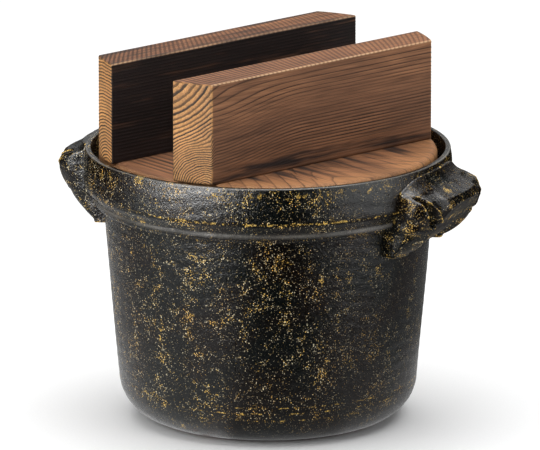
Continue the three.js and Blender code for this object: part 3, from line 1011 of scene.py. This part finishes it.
def rounded_box(half, steps, rounding):
    """Vertices and faces of a box with rounded edges, gridded on all six sides."""
    half = np.array(half, float)
    places = [stops(h, s, rounding) for h, s in zip(half, steps)]
    corners, quads = [], []
    for axis in range(3):
        first, second = (axis + 1) % 3, (axis + 2) % 3
        a, b = places[first], places[second]
        grid_a, grid_b = np.meshgrid(a, b, indexing="ij")
        for side in (-1, 1):
            base = sum(len(c) for c in corners)
            sheet = np.empty((grid_a.size, 3))
            sheet[:, axis] = side * half[axis]
            sheet[:, first] = grid_a.ravel()
            sheet[:, second] = grid_b.ravel()
            corners.append(sheet)
            for i in range(len(a) - 1):
                for j in range(len(b) - 1):
                    k = base + i * len(b) + j
                    quad = (k, k + len(b), k + len(b) + 1, k + 1)
                    quads.append(quad if side > 0 else quad[::-1])
    corners = np.concatenate(corners)
    unique, index = np.unique(corners.round(4), axis=0, return_inverse=True)
    index = index.ravel()
    inner = np.clip(unique, rounding - half, half - rounding)
    out = unique - inner
    length = np.linalg.norm(out, axis=1, keepdims=True)
    unique = inner + out * rounding / np.maximum(length, 1e-9)
    return unique, [tuple(int(index[v]) for v in quad) for quad in quads]


def face_share(value, half, fade=FACE_FADE):
    """1 on a face of a batten, falling to 0 over its edge."""
    return smoothstep(half - fade[0], half - fade[1], value)


def batten_scorch(side, scorched, along, up, front):
    """Scorch of a batten's front, deepened into painted shade on the rear one, fading along it and up
    the front one, and darker towards its foot.
    """
    faded = scorched * (1 - fade(along, *FAR_FADE))
    lighter = 1 - (side > 0) * fade(up, *TOP_LIGHTER)
    return faded * lighter * front, front * fade(up, *FOOT_DARKENING)


def batten(name, node, side, rings, scorched, top_scorch, material):
    half = (BATTEN_THICKNESS / 2, BATTEN_HALF_LENGTH, BATTEN_HEIGHT / 2)
    steps = (BATTEN_ACROSS_STEP, BATTEN_ALONG_STEP, BATTEN_ACROSS_STEP)
    points, faces = rounded_box(half, steps, BATTEN_ARRIS)
    across, along, level = points.T
    up = level + half[2]
    ring = rings(across, up, along)
    top = face_share(level, half[2], TOP_FADE)
    end = face_share(np.abs(along), half[1])
    front = face_share(across, half[0])
    rear = face_share(-across, half[0])

    phase = ring % 1.0
    relief = RELIEF * (smoothstep(0.5, 0.9, phase) - smoothstep(0.95, 1.0, phase) - 0.5)
    outward = np.stack((front - rear, end * np.sign(along), top), 1)
    x = across + side * BATTEN_OFFSET
    reach = np.sqrt(LID_RADIUS ** 2 - x ** 2) / BATTEN_HALF_LENGTH
    placed = np.stack((x, along * reach - BATTEN_SLIDE, up + BOARD_THICKNESS), 1)
    placed += outward * (relief * (1 - top))[:, None]
    piece = make_piece(name, lid_place(placed), faces, material)

    # The front top arris, lightened by wear and a painted highlight
    edge = BATTEN_ARRIS - 0.1
    arris = (across > half[0] - edge) & (level > half[2] - edge)
    # Charring with painted shade on the rear batten's front face, darker rear faces and tops
    burnt_and_shaded, low_band = batten_scorch(side, scorched, along, up, front)
    burnt_and_shaded = burnt_and_shaded * ~arris + REAR_SCORCH * rear + low_band + top_scorch * top
    from_left = along + BATTEN_HALF_LENGTH
    bands = front * (fade(up, *FOOT_PLAIN) + MIDDLE_PLAIN_SHARE * window(up, *MIDDLE_PLAIN))
    write_layers(
        piece,
        grain=np.stack((along, across, up), 1) * MM,
        ring=ring,
        thin=1 - END_LINES * end + front * (fade(up, *TOP_LINES) - FRONT_LINES),
        end=end,
        worn=WORN_AND_LIT_SHARE * arris,
        saw=top * ~arris * (SAW_LEAST + SAW_MORE * np.exp(-from_left / SAW_FADE)),
        stroke=(along + SAW_SLANT[side] * across) / SAW_PITCH,
        scorch=np.clip(burnt_and_shaded, 0, MOST_SCORCH_AND_SHADE),
        plain=np.maximum(bands, TOP_PLAIN * top))
    dress(piece, "lid", "batten_cedar", node)


def board_profile():
    """The board's round edge, from the middle of its underside to the middle of its top."""
    side = LID_RADIUS
    top = BOARD_THICKNESS
    edge = path((BOARD_CAP_RADIUS, 0), [
        ((side - BOARD_FOOT_CHAMFER, 0), 3.0),
        ((side, BOARD_FOOT_CHAMFER), 0.8),
        ((side, top - BOARD_TOP_ROUND), 2.0)])
    edge += arc((side - BOARD_TOP_ROUND, top - BOARD_TOP_ROUND), BOARD_TOP_ROUND, 0, math.pi / 2, 8)
    return edge + line((side - BOARD_TOP_ROUND - BOARD_STEP, top), (BOARD_CAP_RADIUS, top), BOARD_STEP)


def sawn_board(low, high):
    """Vertices and faces of the round board between two saw cuts."""
    points, faces = revolve(board_profile(), BOARD_TURNS)
    mesh = bmesh.new()
    verts = [mesh.verts.new(p) for p in points]
    for face in faces:
        mesh.faces.new([verts[i] for i in face])
    for place, normal in ((low, (0, -1, 0)), (high, (0, 1, 0))):
        if abs(place) < LID_RADIUS:
            everything = mesh.verts[:] + mesh.edges[:] + mesh.faces[:]
            cut = bmesh.ops.bisect_plane(
                mesh, geom=everything, plane_co=(0, place, 0), plane_no=normal, clear_outer=True)
            rim = [e for e in cut["geom_cut"] if isinstance(e, bmesh.types.BMEdge)]
            bmesh.ops.holes_fill(mesh, edges=rim, sides=0)
    mesh.verts.index_update()
    points = np.array([v.co for v in mesh.verts])
    faces = [tuple(v.index for v in f.verts) for f in mesh.faces]
    mesh.free()
    return points, faces


def plank(name, node, low, high, shift, material):
    points, faces = sawn_board(low, high)
    piece = make_piece(name, lid_place(points), faces, material)
    piece.data.set_sharp_from_angle(angle=math.radians(50))

    along, across, up = points.T
    inset = LID_RADIUS - np.hypot(along, across)
    ahead = along > BATTEN_OFFSET
    front_edge = smoothstep(*FRONT_EDGE, inset) * ahead
    side_edge = fade(inset, *SIDE_EDGE) * (across < 0) * (along < BATTEN_OFFSET)
    shade = FRONT_SCORCH + fade(along, *NEAR_BATTEN_DARKENING)
    write_layers(
        piece,
        grain=np.stack((along, across, up), 1) * MM,
        ring=plank_rings(along, across, up) + shift,
        thin=np.where(ahead, *BOARD_LINES),
        end=np.maximum(fade(inset, *RIM_EDGE), FRONT_EDGE_SHARE * front_edge),
        plain=np.maximum(side_edge, BOARD_FRONT_PLAIN * ahead),
        scorch=shade * ahead * (1 - front_edge))
    dress(piece, "lid", "lid_cedar", node)


# Stage, lights and camera

VIEW_AZIMUTH = math.radians(25)
VIEW_ELEVATION = math.radians(13.8)
VIEW_DISTANCE = 6.5
FRAME_WIDTH = 0.3073
AIM_HEIGHT = 0.1097
AIM_RIGHT = 0.0011
SENSOR_WIDTH = 36
FLOOR_SIZE = 14.0
right = Vector((math.cos(VIEW_AZIMUTH), math.sin(VIEW_AZIMUTH), 0))
towards = Vector((math.sin(VIEW_AZIMUTH), -math.cos(VIEW_AZIMUTH), 0))

# Lamps: bearing to the right of the camera's side, distance, height, width, tallness, radiance, colour
LAMPS = {
    "left_box": (-56, 0.52, 0.25, 0.66, 0.50, 1.8, (1, 1, 1)),
    "right_box": (64, 0.60, 0.23, 0.58, 0.46, 0.85, (0.96, 0.98, 1.0)),
    "top_box": (160, 0.5, 2.2, 3.4, 3.4, 2.4, (1, 1, 1)),
}
LAMP_AIM = Vector((0, 0, 0.1))
SKY_GLOW = 0.20

# Studio that the glaze mirrors: cards between two bearings, with a soft edge, and lamps with a spread
STUDIO_RADIUS = 0.45
STUDIO_HEIGHT = 0.75
TABLE_HEIGHT = 0.0005
CEILING_GLOW = 5.5
ROOM_GLOW = 0.01
GRID_PITCH = 6.0
LEFT_CARD = (-84, -19, 1.5)
LEFT_CARD_GLOW = 1.1
LEFT_LAMP = (-44, 20)
LEFT_LAMP_GLOW = (0.08, 0.18, 12)
RIGHT_CARD = (36, 84, 3)
RIGHT_CARD_GLOW = 1.8
BACK_CARD = (140, 190, 15)
BACK_CARD_GLOW = (0.10, 0.25, 0.35)
BACK_LAMP = (141, 4)
BACK_LAMP_LEVEL = (0.36, 0.02)
BACK_LAMP_GLOW = 7
RIM_STRIP = (150, 190, 8)
RIM_STRIP_HEIGHTS = (0.17, 0.33, 0.03)
RIM_STRIP_GLOW = 0.25
LEFT_TABLE = (-165, -19, 5)
LEFT_TABLE_GLOW = 0.40
RIGHT_TABLE = (36, 165, 6)
RIGHT_TABLE_GLOW = 0.14
BACK_TABLE_GLOW = (150, 175, 0.5)
NEAR_TABLE_GLOW = (0.21, 0.13, 0.30)
TABLE_GRID_START = (0.16, 0.24)


def floor():
    material, tree, shader = new_material("paper")
    tooth = object_place(tree).noise(900, 2, 0.5)
    tooth.ramp([(0.3, (0.90, 0.90, 0.90)), (0.7, (0.93, 0.93, 0.93))]).to(shader, "Base Color")
    shader.inputs["Roughness"].default_value = 0.95
    shader.inputs["Specular IOR Level"].default_value = 0.1
    half = FLOOR_SIZE / 2 / MM
    corners = [(-half, -half, -0.1), (half, -half, -0.1), (half, half, -0.1), (-half, half, -0.1)]
    make_piece("floor", corners, [(0, 1, 2, 3)], material)


def softbox(name, bearing, distance, height, width, tall, radiance, colour):
    """A lamp that faces the pot, at a bearing to the right of the camera's side."""
    turn = math.radians(bearing)
    light = bpy.data.lights.new(name, "AREA")
    light.shape = "RECTANGLE"
    light.size = width
    light.size_y = tall
    light.energy = radiance * math.pi * width * tall
    light.color = colour
    lamp = bpy.data.objects.new(name, light)
    aside = towards * math.cos(turn) + right * math.sin(turn)
    lamp.location = aside * distance + Vector((0, 0, height))
    lamp.rotation_euler = (LAMP_AIM - lamp.location).to_track_quat("-Z", "Y").to_euler()
    lamp.visible_camera = False
    lamp.visible_glossy = False
    bpy.context.scene.collection.objects.link(lamp)


def stripes(bearing):
    """Bright and dark stripes of a lamp's grid, from 0 to 1."""
    return smoothstep(0.45, 0.95, 0.5 + 0.5 * np.cos(2 * math.pi * bearing / GRID_PITCH))


def wall_glow(bearing, height):
    """How bright the studio's wall is at a bearing and a height."""
    behind = np.abs(bearing)
    left_lamp = fade(height, *LEFT_LAMP_GLOW) * bell(bearing, *LEFT_LAMP)
    left = (LEFT_CARD_GLOW + left_lamp) * window(bearing, *LEFT_CARD)
    left *= 0.35 + 1.9 * stripes(bearing)
    right_side = RIGHT_CARD_GLOW * window(bearing, *RIGHT_CARD)
    back = fade(height, *BACK_CARD_GLOW) * window(behind, *BACK_CARD)
    back_lamp = BACK_LAMP_GLOW * bell(bearing, *BACK_LAMP) * bell(height, *BACK_LAMP_LEVEL)
    rim_strip = RIM_STRIP_GLOW * window(behind, *RIM_STRIP) * window(height, *RIM_STRIP_HEIGHTS)
    return ROOM_GLOW + left + right_side + back + back_lamp + rim_strip


def table_glow(bearing, radius):
    """How bright the table is at a bearing and a radius."""
    near = fade(radius, *NEAR_TABLE_GLOW)
    grid = 1 + smoothstep(*TABLE_GRID_START, radius) * (1.9 * stripes(bearing) - 0.65)
    left = LEFT_TABLE_GLOW * window(bearing, *LEFT_TABLE) * grid
    right_side = RIGHT_TABLE_GLOW * window(bearing, *RIGHT_TABLE) * grid
    back = fade(np.abs(bearing), *BACK_TABLE_GLOW)
    return ROOM_GLOW + left + right_side + back + near


def glow_material():
    material, tree, _ = new_material("reflectors")
    tree.nodes.clear()
    lamp = add(tree, "Emission", {"Strength": attribute(tree, "glow")})
    tree.links.new(lamp.outputs[0], add(tree, "OutputMaterial").inputs["Surface"])
    return material


def reflectors():
    """Bright cards, a dark room and a table top round the pot that only reflections see."""
    bearings = np.arange(-180, 180, 0.75)
    turn = np.radians(bearings)
    rows = [(radius, TABLE_HEIGHT) for radius in np.linspace(0.06, STUDIO_RADIUS, 24)]
    rows += [(STUDIO_RADIUS, height) for height in np.linspace(0.02, STUDIO_HEIGHT, 36)]
    rows += [(STUDIO_RADIUS * share, STUDIO_HEIGHT + 0.05) for share in (0.75, 0.5, 0.25, 0.02)]
    points, glow = [], []
    for radius, height in rows:
        ahead, aside = np.cos(turn) * radius, np.sin(turn) * radius
        x = ahead * towards.x + aside * right.x
        y = ahead * towards.y + aside * right.y
        points.append(np.stack((x, y, np.full(len(turn), height)), 1))
        if height == TABLE_HEIGHT:
            glow.append(table_glow(bearings, radius))
        elif height <= STUDIO_HEIGHT:
            glow.append(wall_glow(bearings, height))
        else:
            glow.append(np.full(len(turn), CEILING_GLOW))
    open_faces = ring_faces(len(rows), len(bearings))[:-2]
    studio = make_piece("reflectors", np.concatenate(points) / MM, open_faces, glow_material())
    write_layers(studio, glow=np.concatenate(glow))
    studio.visible_camera = False
    studio.visible_diffuse = False
    studio.visible_shadow = False


def sky():
    world = bpy.data.worlds.new("studio")
    world.use_nodes = True
    background = world.node_tree.nodes["Background"]
    background.inputs["Color"].default_value = (1, 1, 1, 1)
    background.inputs["Strength"].default_value = SKY_GLOW
    bpy.context.scene.world = world


def camera():
    lens = bpy.data.cameras.new("camera")
    lens.sensor_width = SENSOR_WIDTH
    lens.lens = SENSOR_WIDTH * VIEW_DISTANCE / FRAME_WIDTH
    lens.clip_end = 100
    eye = bpy.data.objects.new("camera", lens)
    rim = Vector((0, 0, POT_HEIGHT * MM))
    level = towards * math.cos(VIEW_ELEVATION) + Vector((0, 0, math.sin(VIEW_ELEVATION)))
    eye.location = rim + level * VIEW_DISTANCE
    aim = Vector((0, 0, AIM_HEIGHT)) + right * AIM_RIGHT
    eye.rotation_euler = (aim - eye.location).to_track_quat("-Z", "Y").to_euler()
    bpy.context.scene.collection.objects.link(eye)
    bpy.context.scene.camera = eye


# Assembly

pot_glaze = glaze("pot_glaze")
lug_glaze = glaze("lug_glaze")
board_cedar = cedar("lid_cedar")
batten_cedar = cedar("batten_cedar")
peg_bamboo = bamboo("bamboo")

pot_body(pot_glaze)
lug("lug_right_clay", "lug_right", 0.0, 0.0, 1.0, RIGHT_LEG_GOLD, 1, lug_glaze)
left_place = (LEFT_LUG_TURN, LEFT_LUG_LIFT, LEFT_LUG_STRETCH)
lug("lug_left_clay", "lug_left", *left_place, LEFT_LEG_GOLD, 7, lug_glaze)
joint_in, joint_out = JOINT_OFFSET - JOINT_GAP / 2, JOINT_OFFSET + JOINT_GAP / 2
plank("plank_left", "lid_plank_left", -LID_RADIUS, -joint_out, PLANK_SHIFTS[0], board_cedar)
plank("plank_middle", "lid_plank_middle", -joint_in, joint_in, PLANK_SHIFTS[1], board_cedar)
plank("plank_right", "lid_plank_right", joint_out, LID_RADIUS, PLANK_SHIFTS[2], board_cedar)
batten("batten_front_cedar", "batten_front", 1, front_rings, 0.12, 0.0, batten_cedar)
# The rear batten's front face near black: charring deepened into painted shade
batten("batten_rear_cedar", "batten_rear", -1, rear_rings, 0.95, 0.35, batten_cedar)
for node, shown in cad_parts.items():
    if node.startswith("peg_"):
        shown.data.materials.clear()
        shown.data.materials.append(peg_bamboo)

floor()
reflectors()
for lamp_name, lamp_values in LAMPS.items():
    softbox(lamp_name, *lamp_values)
sky()
camera()
bpy.context.scene.view_settings.view_transform = "Standard"
